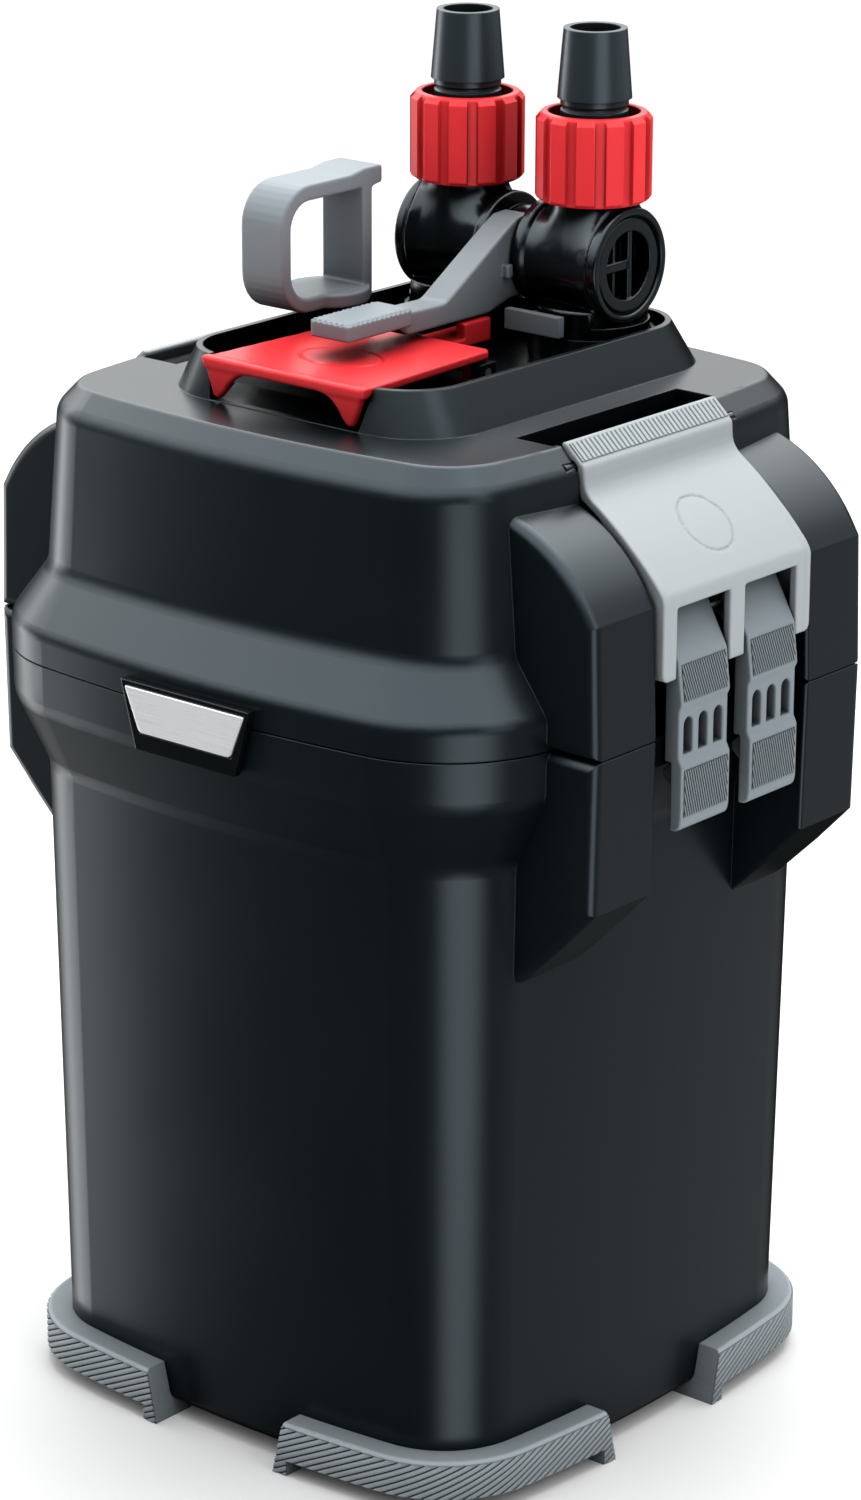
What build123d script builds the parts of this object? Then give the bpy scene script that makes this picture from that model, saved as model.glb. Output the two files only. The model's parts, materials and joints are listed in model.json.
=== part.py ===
from build123d import *
from math import cos, hypot, radians, sin, degrees, atan2
import os

# An external canister filter for a small aquarium: a square canister with bowed sides that stands
# on four rubber feet, a motor head held down by two side clamps, and a twin shut-off valve on top.
# Millimetres. Z is up, the floor is z = 0, the badge faces -Y and the clamps are at +X and -X.

# ---- driving dimensions ----------------------------------------------------------------------
# Plan outline: a square with bowed sides. Every outline is an offset of it, so "half" is the
# distance from the axis to the middle of a side.
BOW = 356.0
CORNER = 52.6
CORNER_INSET = hypot(BOW + CORNER, CORNER) - BOW
SIDE_TURN = degrees(atan2(CORNER, BOW + CORNER))

WALL = 3.0
PART_Z = 213.8
PART_GAP = 0.4
BAND = 94.0
SEAL_CAVITY = 90.8
HEAD_TOP = 286.3

CANISTER_LEVELS = ((3.8, 81.4), (181.0, 84.4), (201.0, 93.7), (PART_Z, BAND))
CANISTER_CAVITY = ((6.8, 78.2), (184.0, 81.4), (201.5, SEAL_CAVITY), (PART_Z + 1, SEAL_CAVITY))
HEAD_LEVELS = ((PART_Z + PART_GAP, BAND), (222.7, BAND), (237.0, 83.6), (280.2, 80.4), (HEAD_TOP, 74.6))
HEAD_CAVITY = ((PART_Z, 91.0), (221.6, 91.0), (236.0, 80.6), (279.8, 77.8), (283.3, 73.6))

# Ears: the ribs on both sides of each clamp, in front of and behind it.
EAR_INNER_Y = 32.4
EAR_OUTER_Y = 57.8
EAR_X = 106.1
LEDGE_X = 101.5

# Feet
FOOT_HALF = 88.6
FOOT_TOP = 15.5
FOOT_SKIRT_Z = 4.5
FOOT_GAP = 21.8
FOOT_END_SLANT = 3.7
FOOT_LEG = 4.8
FOOT_REACH = 74.0

# Valve tray on the head
TRAY_FLOOR = 289.0
RIM_TOP = 298.0
RIM_BASE_SIZE = (100.0, 127.0, 6.5)
RIM_TOP_SIZE = (87.0, 118.0, 5.0)
RIM_WALL = 2.0

# Valve
PORT_X = 22.2
VALVE_Y = 44.3
VALVE_Z = 314.3
BARREL_BORE = 12.1
BARREL_START = 5.4
BARREL_WAIST_R = 13.5
BARREL_FLARE_R = 15.6
COLLAR_R = 14.6
BARREL_END = 32.0
CAP_END = 35.4
CAP_R = 15.85
BASE_R = 15.9
PORT_R = 10.4
NOZZLE_R = 9.6
NOZZLE_END = 266.0
STUB_R = 12.6
NECK_R = 11.2
STUB_TOP = 343.0
SPINDLE_R = 4.0
RUNNING = 0.05
HUB_R = 11.5
DRUM_R = 11.7
DRUM_START = 9.0
DRUM_END = 27.5
PASSAGE_R = 7.5

# Hose connectors and their nuts
NUT_R = 15.45
NUT_ROOT_R = 14.5
NUT_BOTTOM = 331.0
NUT_TOP = 355.1
NUT_RIBS = 12
HOSE_TIP_R = 8.6
HOSE_FOOT_R = 10.15
HOSE_FOOT_Z = 358.7
HOSE_TOP = 377.5
HOSE_BORE = 6.8

# Clamps
CLAMP_HALF = 31.6
CLAMP_PIN = (76.5, 281.0)
CLAMP_PIN_R = 1.5
CLAMP_FACE = 106.8
CLAMP_BOTTOM = 229.0
WINDOW_NEAR = 3.2
WINDOW_FAR = 25.6
WINDOW_TOP = 248.0
TAB_PIN = (97.0, 241.0)
TAB_PIN_R = 1.25
TAB_NEAR = 4.4
TAB_FAR = 25.1
TAB_SLOT_DEPTH = 103.4

# Primer
PRIMER = (-35.5, 0.5)
PRIMER_ROD_R = 3.8
PRIMER_HOLE_R = 4.3
PRIMER_DISC_R = 12.0

# Release latch
LATCH_PIN = (-4.8, 292.6)
LATCH_PIN_R = 1.2

# Motor
MOTOR = (22.0, -14.0)
SHAFT_R = 1.5
POT_BORE = 11.5
POT_R = 13.0
BASE_PLATE_TOP = 217.2


# ---- helpers ---------------------------------------------------------------------------------
def plan(half, z):
    """Face of the plan outline at height z: four bowed sides and four round corners."""
    arcs = []
    for quarter in range(4):
        start = 90 * quarter
        c = cos(radians(start))
        s = sin(radians(start))
        arcs.append(CenterArc((-BOW * c, -BOW * s), half + BOW, start - SIDE_TURN, 2 * SIDE_TURN))
        corner = (CORNER * (c - s), CORNER * (s + c))
        arcs.append(CenterArc(corner, half - CORNER_INSET, start + SIDE_TURN, 90 - 2 * SIDE_TURN))
    return Pos(0, 0, z) * Face(Wire(arcs))


def stack(levels):
    """Solid with straight walls between plan outlines, given as (height, half) pairs."""
    return Solid.make_loft([plan(half, z).outer_wire() for z, half in levels], ruled=True)


def level_edges(solid, z):
    """The edges that lie flat at height z."""
    return [e for e in solid.edges() if abs(e.center().Z - z) < 0.01 and e.bounding_box().size.Z < 0.01]


def soften(solid, rounds):
    """Rounds the level edges of a stack, given as (height, radius) pairs."""
    for z, radius in rounds:
        solid = solid.fillet(radius, level_edges(solid, z))
    return solid


def block(low, high):
    """Box from its lowest to its highest corner."""
    size = [b - a for a, b in zip(low, high)]
    return Pos(*low) * Solid.make_box(*size)


def rod(radius, low, high, x=0.0, y=0.0):
    """Upright cylinder from z = low to z = high."""
    return Pos(x, y, low) * Solid.make_cylinder(radius, high - low)


def rod_x(radius, low, high, y, z):
    """Cylinder along X from x = low to x = high."""
    return Pos(low, y, z) * Rot(0, 90, 0) * Solid.make_cylinder(radius, high - low)


def rod_y(radius, low, high, x, z):
    """Cylinder along Y from y = low to y = high."""
    return Pos(x, low, z) * Rot(-90, 0, 0) * Solid.make_cylinder(radius, high - low)


def prism_y(edges, low, high):
    """Extrudes a closed outline, drawn as (x, z), along Y from low to high."""
    face = Plane((0, low, 0), x_dir=(1, 0, 0), z_dir=(0, -1, 0)) * Face(Wire(edges))
    return Solid.extrude(face, Vector(0, high - low, 0))


def prism_x(edges, low, high):
    """Extrudes a closed outline, drawn as (y, z), along X from low to high."""
    face = Plane((low, 0, 0), x_dir=(0, 1, 0), z_dir=(1, 0, 0)) * Face(Wire(edges))
    return Solid.extrude(face, Vector(high - low, 0, 0))


def polygon(*points):
    """Edges of a closed polygon."""
    return Polyline(*points, close=True).edges()


def chain(*pieces):
    """Edges of an outline of points and arcs: a pair is a corner, a triple ends an arc as (x, y, through)."""
    edges = []
    here = pieces[0]
    for piece in pieces[1:] + pieces[:1]:
        if len(piece) == 3:
            edges.append(ThreePointArc(here, piece[2], piece[:2]))
        elif piece != here:
            edges.append(Line(here, piece))
        here = piece[:2]
    return edges


def turned(points, x=0.0, y=0.0):
    """Solid of revolution about the upright axis through (x, y) from (radius, z) corners."""
    face = Plane.XZ * Face(Wire(polygon(*points)))
    return Pos(x, y, 0) * Solid.revolve(face, 360, Axis.Z)


def both_sides(make):
    """A solid and its mirror image across the plane x = 0."""
    return make + make.mirror(Plane.YZ)


# ---- canister --------------------------------------------------------------------------------
def canister_outside():
    """The canister's outer form without its ears."""
    return soften(stack(CANISTER_LEVELS), ((3.8, 3.5), (181.0, 9.0), (201.0, 9.0)))


def ear(outline):
    """One front right ear from its (x, z) outline, with its outer edges rounded."""
    rib = prism_y(outline, -EAR_OUTER_Y, -EAR_INNER_Y)
    outer = [e for e in rib.edges() if e.center().X > 88 and abs(e.center().Y + EAR_OUTER_Y) < 0.01]
    inner = [e for e in rib.edges() if e.center().X > 88 and abs(e.center().Y + EAR_INNER_Y) < 0.01]
    return rib.fillet(3.0, outer).fillet(1.2, inner)


def four_ways(solid):
    """A front right solid with its mirror images in the other three corners."""
    right = solid + solid.mirror(Plane.XZ)
    return right + right.mirror(Plane.YZ)


def catch_ledge():
    """The ledge between the right ears that the clamp tabs hook under."""
    outline = polygon((88, 203.4), (99.9, 203.4), (LEDGE_X, 205.0), (LEDGE_X, 212.6), (88, 212.6))
    return prism_y(outline, -EAR_INNER_Y, EAR_INNER_Y)


def canister_body():
    """Open canister with its ears and catch ledges."""
    lower_ear = chain(
        (70, PART_Z), (EAR_X, PART_Z), (105.2, 172.2), (94.6, 161.0), (85.0, 151.6), (81.5, 148.4), (70, 148.4)
    )
    solid = canister_outside() + four_ways(ear(lower_ear)) + both_sides(catch_ledge())
    return solid - stack(CANISTER_CAVITY)


def foot():
    """Front right foot: a skirt round the corner that ends in two legs under the canister."""
    skirt = stack(((FOOT_SKIRT_Z, FOOT_HALF), (FOOT_TOP, FOOT_HALF)))
    skirt = skirt.fillet(1.2, level_edges(skirt, FOOT_TOP))
    slab = stack(((0, FOOT_HALF), (8, FOOT_HALF)))
    leg_end = FOOT_GAP + FOOT_LEG
    front_leg = block((FOOT_GAP, -95, 0), (leg_end, -FOOT_REACH, 8)) & slab
    side_leg = block((FOOT_REACH, -leg_end, 0), (95, -FOOT_GAP, 8)) & slab
    slant_top = FOOT_GAP + FOOT_END_SLANT
    ends = polygon((FOOT_GAP, -1), (FOOT_GAP, 0), (slant_top, FOOT_TOP + 1), (100, FOOT_TOP + 1), (100, -1))
    mirrored_ends = polygon(
        (-FOOT_GAP, -1), (-FOOT_GAP, 0), (-slant_top, FOOT_TOP + 1), (-100, FOOT_TOP + 1), (-100, -1)
    )
    corner = prism_y(ends, -100, 0) & prism_x(mirrored_ends, 0, 100)
    return (skirt + front_leg + side_leg) & corner


def feet():
    """The four feet by name, each cut to the canister it grips."""
    front_right = foot() - canister_outside()
    rear_right = front_right.mirror(Plane.XZ)
    return {
        "foot_front_right": front_right,
        "foot_rear_right": rear_right,
        "foot_front_left": front_right.mirror(Plane.YZ),
        "foot_rear_left": rear_right.mirror(Plane.YZ),
    }


BASKET = ((-46.0, -71.0), (72.0, 71.0))
BASKET_FLOORS = (10.0, 92.0)
BASKET_HEIGHT = 80.0
BASKET_WALL = 1.8


def tray_box(inset, low, high, radius=19.0):
    """Round-cornered block in the basket's outline, shrunk by inset."""
    (x0, y0), (x1, y1) = BASKET
    solid = block((x0 + inset, y0 + inset, low), (x1 - inset, y1 - inset, high))
    upright = [e for e in solid.edges() if e.bounding_box().size.Z > high - low - 0.01]
    return solid.fillet(radius - inset, upright)


def media_basket(floor):
    """Open basket with a slotted floor."""
    top = floor + BASKET_HEIGHT
    solid = tray_box(0, floor, top) - tray_box(BASKET_WALL, floor + 2, top + 1)
    for row in range(-4, 5):
        slot_y = 14 * row
        solid = solid - block((-34, slot_y - 2.5, floor - 1), (10, slot_y + 2.5, floor + 3))
        solid = solid - block((16, slot_y - 2.5, floor - 1), (60, slot_y + 2.5, floor + 3))
    return solid


def basket_cover():
    """Lid of the upper basket with the pump's intake grille in it."""
    low = BASKET_FLOORS[1] + BASKET_HEIGHT
    solid = tray_box(0, low, low + 3)
    for column in range(-2, 3):
        slot_x = MOTOR[0] + 7 * column
        solid = solid - block((slot_x - 2, MOTOR[1] - 16, low - 1), (slot_x + 2, MOTOR[1] + 16, low + 4))
    return solid


def foam_frame():
    """Upright frame that holds the two foam pads beside the baskets."""
    solid = block((-73, -52, 8), (-49, 52, 182)) - block((-71, -50, 10), (-51, 50, 183))
    for face_x in (-74, -52):
        for window_z in (22, 76, 130):
            solid = solid - block((face_x, -42, window_z), (face_x + 4, -3, window_z + 44))
            solid = solid - block((face_x, 3, window_z), (face_x + 4, 42, window_z + 44))
    return solid


# ---- head ------------------------------------------------------------------------------------
def head_outside():
    """The head's outer form without ears and tray."""
    return soften(stack(HEAD_LEVELS), ((222.7, 6.0), (237.0, 8.0), (280.2, 6.5), (HEAD_TOP, 1.5)))


def rim_form(shrink, low, high):
    """Tapered round-cornered block of the valve tray, shrunk sideways from its outer walls."""
    depth_b, depth_t = RIM_BASE_SIZE[1], RIM_TOP_SIZE[1]
    base = RectangleRounded(RIM_BASE_SIZE[0] - 2 * shrink, depth_b - 2 * shrink, 22 - shrink).face()
    top = RectangleRounded(RIM_TOP_SIZE[0] - 2 * shrink, depth_t - 2 * shrink, 18 - shrink).face()
    lower = Pos(0, RIM_BASE_SIZE[2], low) * base
    upper = Pos(0, RIM_TOP_SIZE[2], high) * top
    return Solid.make_loft([lower.outer_wire(), upper.outer_wire()], ruled=True)


def clamp_pocket():
    """Room in the right of the head for the top of the clamp and its knuckle."""
    slot = block((59.5, -34.0, 276.0), (72.0, 34.0, 292.0))
    bay = block((70.0, -EAR_INNER_Y, 276.0), (95.0, EAR_INNER_Y, 292.0))
    notch = block((76.0, -EAR_INNER_Y, 267.0), (95.0, EAR_INNER_Y, 278.0))
    return slot + bay + notch


def pocket_walls():
    """Material kept inside the head round the right clamp pocket."""
    upper = block((57.0, -37.0, 273.5), (90.0, 37.0, 290.0))
    lower = block((73.5, -37.0, 264.0), (90.0, 37.0, 280.0))
    return upper + lower


def head_cover():
    """Upper shell of the motor head with its ears, clamp pockets and valve tray."""
    low = PART_Z + PART_GAP
    upper_ear = chain(
        (70, low), (EAR_X, low), (105.0, 249.4), (103.8, 251.4), (77.8, 273.0, (91.9, 265.4)), (70, 274.5)
    )
    solid = head_outside() + four_ways(ear(upper_ear))
    rim = rim_form(0, HEAD_TOP - 0.5, RIM_TOP)
    solid = solid + rim
    solid = solid - (stack(HEAD_CAVITY) - both_sides(pocket_walls()))
    for x in (-71, 71):
        for y in (-71, 71):
            solid = solid + rod(5, BASE_PLATE_TOP, 232, x, y)
            solid = solid - rod(1.7, BASE_PLATE_TOP - 1, 230, x, y)
    solid = solid - both_sides(clamp_pocket())
    hollow = rim_form(RIM_WALL, HEAD_TOP - 0.5, RIM_TOP + 0.6) & block((-60, -70, TRAY_FLOOR), (60, 90, 300))
    solid = solid - hollow
    scoop = polygon((-60, 286.5), (-54.5, 286.5), (-46, TRAY_FLOOR), (-44, 300), (-60, 300))
    cheeks = polygon((-25.9, 286.4), (25.9, 286.4), (29.4, 300), (-29.4, 300))
    solid = solid - (prism_x(scoop, -30, 30) & prism_y(cheeks, -62, -42))
    saddle_room = block((-9.6, 49.4, TRAY_FLOOR), (9.6, 57.6, RIM_TOP))
    for side in (-1, 1):
        seat = rod(BASE_R + 1.4, TRAY_FLOOR - 1, 295.5, side * PORT_X, VALVE_Y) - hollow_seat(side)
        solid = solid + (seat - saddle_room)
        solid = solid - rod(PORT_R, 280, 300, side * PORT_X, VALVE_Y)
        solid = solid - rod_y(CLAMP_PIN_R, -36, 36, side * CLAMP_PIN[0], CLAMP_PIN[1])
    for low in (-26.4, 23.4):
        post = block((low, -8.0, TRAY_FLOOR - 1), (low + 3, -1.6, 295.0))
        solid = solid + (post - rod_x(LATCH_PIN_R, -30, 30, *LATCH_PIN))
    collar = rod(8, TRAY_FLOOR - 1, 294, *PRIMER)
    return solid + collar - rod(PRIMER_HOLE_R, 280, 300, *PRIMER)


def hollow_seat(side):
    """Room inside a port's seat ring for the valve's round base."""
    return rod(BASE_R + 0.35, TRAY_FLOOR, 300, side * PORT_X, VALVE_Y)


def head_base():
    """Lower plate of the head: seal skirt, pump chamber and the two port sockets."""
    low = PART_Z + PART_GAP
    plate = stack(((low, SEAL_CAVITY), (BASE_PLATE_TOP, SEAL_CAVITY)))
    skirt = stack(((203, 90.3), (low, 90.3))) - stack(((202, 86.0), (low + 1, 86.0)))
    groove = stack(((205.5, 92.0), (209.5, 92.0))) - stack(((205.4, 87.9), (209.6, 87.9)))
    chamber = rod(22, 204, low, *MOTOR)
    solid = plate + (skirt - groove) + chamber
    solid = solid - rod(19, 203, low, *MOTOR) - rod(POT_BORE, 203, 220, *MOTOR)
    for side in (-1, 1):
        port = (side * PORT_X, VALVE_Y)
        solid = solid + rod(12.6, BASE_PLATE_TOP, 283.3, *port) - rod(PORT_R, low - 1, 284, *port)
    duct = block((16, 2, BASE_PLATE_TOP), (28, 36, 228)) - rod(21, BASE_PLATE_TOP - 1, 229, *MOTOR)
    duct = duct - block((18, 2, BASE_PLATE_TOP), (26, 36, 226))
    solid = solid + (duct - rod(PORT_R, low - 1, 284, PORT_X, VALVE_Y))
    for x in (-71, 71):
        for y in (-71, 71):
            solid = solid - rod(1.8, 210, 220, x, y)
    return solid - rod(4, low - 1, 220, *PRIMER)


def head_seal():
    """Square-section gasket in the groove of the head's skirt."""
    return stack(((205.8, 90.5), (209.2, 90.5))) - stack(((205.7, 87.9), (209.3, 87.9)))


def head_screws():
    """Four screws that hold the base plate to the cover."""
    low = PART_Z + PART_GAP
    screws = [rod(3.3, low - 2.2, low, x, y) + rod(1.65, low, 229, x, y) for x in (-71, 71) for y in (-71, 71)]
    return Compound(children=screws)


def motor_stator():
    """Potted winding block round the rotor well."""
    solid = block((MOTOR[0] - 24, MOTOR[1] - 20, 224), (MOTOR[0] + 24, MOTOR[1] + 20, 262))
    upright = [e for e in solid.edges() if e.bounding_box().size.Z > 37]
    return solid.fillet(4, upright) - rod(POT_R, 223, 263, *MOTOR)


def rotor_well():
    """Thin-walled well that keeps the water round the rotor away from the winding."""
    outline = (
        (POT_BORE, BASE_PLATE_TOP), (19, BASE_PLATE_TOP), (19, 219.4), (POT_R, 219.4), (POT_R, 268),
        (0, 268), (0, 265.5), (5, 265.5), (5, 260), (POT_BORE, 260),
    )
    return turned(outline, *MOTOR)


def ring(outer, inner, low, high, x, y):
    """Upright tube."""
    return rod(outer, low, high, x, y) - rod(inner, low - 1, high + 1, x, y)


def impeller_cover():
    """Round cover under the pump chamber with a spoked intake and the lower shaft seat."""
    x, y = MOTOR
    solid = ring(22, 13, 200.5, 204, x, y) + ring(6, 3.6, 200.5, 204, x, y)
    spokes = block((x - 14, y - 1.2, 200.5), (x + 14, y + 1.2, 203)) + block(
        (x - 1.2, y - 14, 200.5), (x + 1.2, y + 14, 203)
    )
    return solid + (spokes - rod(5, 200, 204, x, y))


def impeller_vanes():
    """Six straight blades on a hub."""
    x, y = MOTOR
    hub = rod(5, 206.5, 221.6, x, y) + rod(16.5, 211.8, 213.2, x, y)
    blade = block((3, -0.7, 207), (16.5, 0.7, 212))
    for turn in range(6):
        hub = hub + Pos(x, y, 0) * Rot(0, 0, 60 * turn) * blade
    return hub - rod(SHAFT_R + RUNNING, 206, 222, x, y)


def primer_cylinder():
    """Tube that the priming piston runs in."""
    return ring(15.5, 13, BASE_PLATE_TOP, 283.3, *PRIMER)


def primer_handle():
    """Pull loop of the primer, a flat strap bent round a finger gap."""
    outer = chain(
        (-25.6, 313), (-25.6, 325.6), (-14.2, 337, (-22.3, 333.7)), (4, 337), (8, 338), (15.3, 338), (15.3, 333.2),
        (11.2, 332.6), (11.2, 302), (-14.6, 302), (-25.6, 313, (-22.4, 305.2)),
    )
    window = chain(
        (-21.8, 313.4), (-21.8, 325.2), (-14.4, 332.6, (-19.6, 330.4)), (7.2, 332.6), (7.2, 306),
        (-14.4, 306), (-21.8, 313.4, (-19.6, 308.2)),
    )
    x = PRIMER[0]
    disc = rod(PRIMER_DISC_R, 302, 305.6, *PRIMER)
    return prism_x(outer, x - 7.5, x + 7.5) - prism_x(window, x - 8.5, x + 8.5) + disc


def primer_piston():
    """Disc with a groove for its seal ring."""
    disc = ring(12.5, 0.1, 221, 230, *PRIMER) + rod(1, 221, 230, *PRIMER)
    return disc - ring(14, 10.6, 223.8, 227.2, *PRIMER)


def badge_outline(inset, drop):
    """Edges of the badge's trapezoid, shrunk by inset and longer below by drop."""
    half_top = 22.6 - inset
    half_bottom = 17.6 - inset
    top = 219.4 - inset
    bottom = 204.4 + inset - drop
    return polygon((-half_top, top), (half_top, top), (half_bottom, bottom), (-half_bottom, bottom))


def badge_carrier():
    """Dark frame of the badge: it hugs the head's band and hangs clear of the canister's."""
    frame = prism_y(badge_outline(0, 3.4), -96.2, -92)
    canister_room = stack(((190, BAND + 0.35), (PART_Z + PART_GAP, BAND + 0.35)))
    head_room = stack(((PART_Z + PART_GAP, BAND), (225, BAND)))
    recess = prism_y(badge_outline(1.3, 0), -97, -95.3)
    return frame - canister_room - head_room - recess


def cable_gland():
    """Rubber gland of the mains lead at the back of the head, with its blind inlet."""
    solid = rod_y(7, 82.0, 90, -40, 252) + rod_y(5, 90, 96.5, -40, 252)
    return (solid - rod_y(3.2, 88, 97, -40, 252)) - stack(((240, 83.4), (252, 82.7), (264, 81.9)))


# ---- clamps ----------------------------------------------------------------------------------
def clamp_shell():
    """Right clamp: a bent plate with cheeks, two windows and a hinge knuckle."""
    pin_x, pin_z = CLAMP_PIN
    plate = chain(
        (74.2, 287.3), (80.2, 281.8), (80.6, 277.6), (82.6, 273.8, (81.2, 275.5)),
        (105.4, 253.2, (95.3, 263.8)), (CLAMP_FACE, 250.0),
        (CLAMP_FACE, CLAMP_BOTTOM), (104.3, CLAMP_BOTTOM), (104.3, 250.2), (103.2, 252.2),
        (79.2, 273.0, (92.9, 262.6)), (77.6, 276.4), (73.8, 283.6), (72.8, 286.0),
    )
    cheek = chain(
        (86.0, 268.6), (105.4, 253.2, (95.6, 262.6)), (CLAMP_FACE, 250.0), (CLAMP_FACE, CLAMP_BOTTOM),
        (94.0, CLAMP_BOTTOM), (86.0, 240.0),
    )
    solid = prism_y(plate, -CLAMP_HALF, CLAMP_HALF) + rod_y(3.0, -CLAMP_HALF, CLAMP_HALF, pin_x, pin_z)
    for side in (-1, 1):
        ends = sorted((side * CLAMP_HALF, side * (CLAMP_HALF - 2.2)))
        trimmed = prism_y(cheek, *ends) - rod_y(TAB_PIN_R, -40, 40, *TAB_PIN)
        solid = solid + trimmed
        window = sorted((side * WINDOW_NEAR, side * WINDOW_FAR))
        solid = solid - block((103, window[0], CLAMP_BOTTOM - 1), (108, window[1], WINDOW_TOP))
    upright = [e for e in solid.edges() if e.bounding_box().size.Z > 18 and e.center().X > CLAMP_FACE - 0.1]
    solid = solid.fillet(0.8, upright)
    return solid - rod_y(CLAMP_PIN_R + RUNNING, -40, 40, pin_x, pin_z)


def clamp_tabs():
    """Right latch: two finger tabs on one pivot tube, each with slots and a hook behind."""
    pin_x, pin_z = TAB_PIN
    tab = chain(
        (98.0, 247.0), (100.4, 245.6), (106.9, 233.2), (108.7, 221.6), (107.9, 220.6), (107.9, 207.0),
        (109.0, 205.6), (109.0, 190.2), (107.6, 187.4), (104.8, 187.4), (104.8, 230.0), (97.0, 243.8),
    )
    back = polygon((102.7, 206.0), (105.0, 206.0), (105.0, 231.0), (102.7, 233.0))
    hook = polygon((100.2, 200.5), (100.2, 202.6), (102.7, 205.1), (102.7, 206.2), (105.0, 206.2), (105.0, 196.0))
    solid = rod_y(3.2, -TAB_FAR, TAB_FAR, pin_x, pin_z)
    web = polygon((97.0, 238.4), (102.8, 230.0), (105.0, 229.0), (105.0, 232.0), (99.0, 243.5))
    for side in (-1, 1):
        ends = sorted((side * TAB_NEAR, side * TAB_FAR))
        leg = prism_y(tab, *ends) + prism_y(back, *ends) + prism_y(web, *ends)
        inner = sorted((side * (TAB_NEAR + 3), side * (TAB_FAR - 3)))
        leg = leg + prism_y(hook, *inner)
        for slot in range(3):
            centre = side * (TAB_NEAR + 4.0 + 6.35 * slot)
            leg = leg - block((TAB_SLOT_DEPTH, centre - 1.9, 208.2), (109, centre + 1.9, 216.1))
            leg = leg - rod_x(1.9, TAB_SLOT_DEPTH, 109, centre, 216.1)
        solid = solid + leg
    return solid - rod_y(TAB_PIN_R + RUNNING, -40, 40, pin_x, pin_z)


# ---- shut-off valve --------------------------------------------------------------------------
def barrel():
    """Right barrel: straight by the lever, flaring to its end cap."""
    outline = chain(
        (BARREL_START, 0), (BARREL_START, COLLAR_R - 0.5), (BARREL_START + 0.5, COLLAR_R), (8.4, COLLAR_R),
        (9.4, BARREL_WAIST_R), (18, BARREL_WAIST_R), (BARREL_END, BARREL_FLARE_R, (25.6, 14.0)), (BARREL_END, 0),
    )
    solid = Solid.revolve(Plane.XY * Face(Wire(outline)), 360, Axis.X)
    return Pos(0, VALVE_Y, VALVE_Z) * solid


def valve_half():
    """Right half of the valve body: barrel, base, nozzle and threaded stub."""
    x = PORT_X
    base = rod(BASE_R, TRAY_FLOOR + 0.4, 302.0, x, VALVE_Y) & block((6.4, 20, 280), (40, 70, 302))
    base = base - block((BARREL_END, 20, VALVE_Z - CAP_R), (40, 70, 303))
    nozzle = rod(NOZZLE_R, NOZZLE_END, 300, x, VALVE_Y)
    stub = rod(NECK_R, 318, NUT_BOTTOM + 1, x, VALVE_Y) + rod(STUB_R, NUT_BOTTOM + 1, STUB_TOP, x, VALVE_Y)
    solid = barrel() + base + nozzle + stub
    solid = solid - rod_x(BARREL_BORE, DRUM_START - 0.6, BARREL_END + 9, VALVE_Y, VALVE_Z)
    solid = solid - rod_x(SPINDLE_R + RUNNING, 5, 14, VALVE_Y, VALVE_Z)
    solid = solid - rod(PASSAGE_R, NOZZLE_END - 1, VALVE_Z, x, VALVE_Y) - rod(8.6, VALVE_Z, STUB_TOP + 1, x, VALVE_Y)
    solid = solid - rod_x(CAP_R, BARREL_END, CAP_END, VALVE_Y, VALVE_Z)
    return solid - ring(12, 8.6, 270.8, 274.2, x, VALVE_Y)


def valve_body():
    """Both halves joined by a low saddle, with the bar that carries the latch in front."""
    saddle = block((-9, 50, TRAY_FLOOR + 0.4), (9, 57, 298))
    return both_sides(valve_half()) + saddle


def latch_bar():
    """Grey bar on two short arms in front of the valve's right base."""
    solid = block((9.5, 22.4, 297.0), (28, 25, 302.5))
    for low in (13.0, 22.0):
        solid = solid + block((low, 25, 298.0), (low + 3, 36, 301.0))
    return solid - rod(BASE_R, 280, 302, PORT_X, VALVE_Y)


def end_cap():
    """Right end cap: a ring with crossed bars in its opening."""
    solid = rod_x(CAP_R, BARREL_END, CAP_END, VALVE_Y, VALVE_Z)
    solid = solid - rod_x(13.7, CAP_END - 0.9, CAP_END + 1, VALVE_Y, VALVE_Z)
    opening = rod_x(9.2, BARREL_END - 1, CAP_END + 1, VALVE_Y, VALVE_Z)
    upright = block((BARREL_END, VALVE_Y + 1.0, VALVE_Z - 10), (BARREL_END + 1.6, VALVE_Y + 2.6, VALVE_Z + 10))
    level = block((BARREL_END, VALVE_Y - 10, VALVE_Z - 1.4), (BARREL_END + 1.6, VALVE_Y + 10, VALVE_Z + 1.4))
    return solid - (opening - upright - level)


def lever_arm():
    """Grey lever: finger pad, arm and the web that grips the hub."""
    arm = chain(
        (-17, 304), (-17, 308), (0.5, 307.2), (31.5, 324.0, (18.2, 313.6)), (44.3, 325.4), (44.3, 303), (31, 303),
        (22, 300.4), (-12, 300.4),
    )
    pad = block((-7, -39, 304), (7, -15.5, 308))
    solid = prism_x(arm, -4.5, 4.5) + pad.fillet(0.8, [e for e in pad.edges() if e.center().Z > 307.9])
    return solid - rod_x(HUB_R, -9, 9, VALVE_Y, VALVE_Z)


def valve_spindle():
    """Hub with two ring grooves and the spindle that turns both drums."""
    solid = rod_x(HUB_R, -5.0, 5.0, VALVE_Y, VALVE_Z) + rod_x(SPINDLE_R, -DRUM_START, DRUM_START, VALVE_Y, VALVE_Z)
    for low in (-3.4, 2.4):
        solid = solid - (rod_x(13, low, low + 1.0, VALVE_Y, VALVE_Z) - rod_x(10.3, -9, 9, VALVE_Y, VALVE_Z))
    return solid


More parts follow.
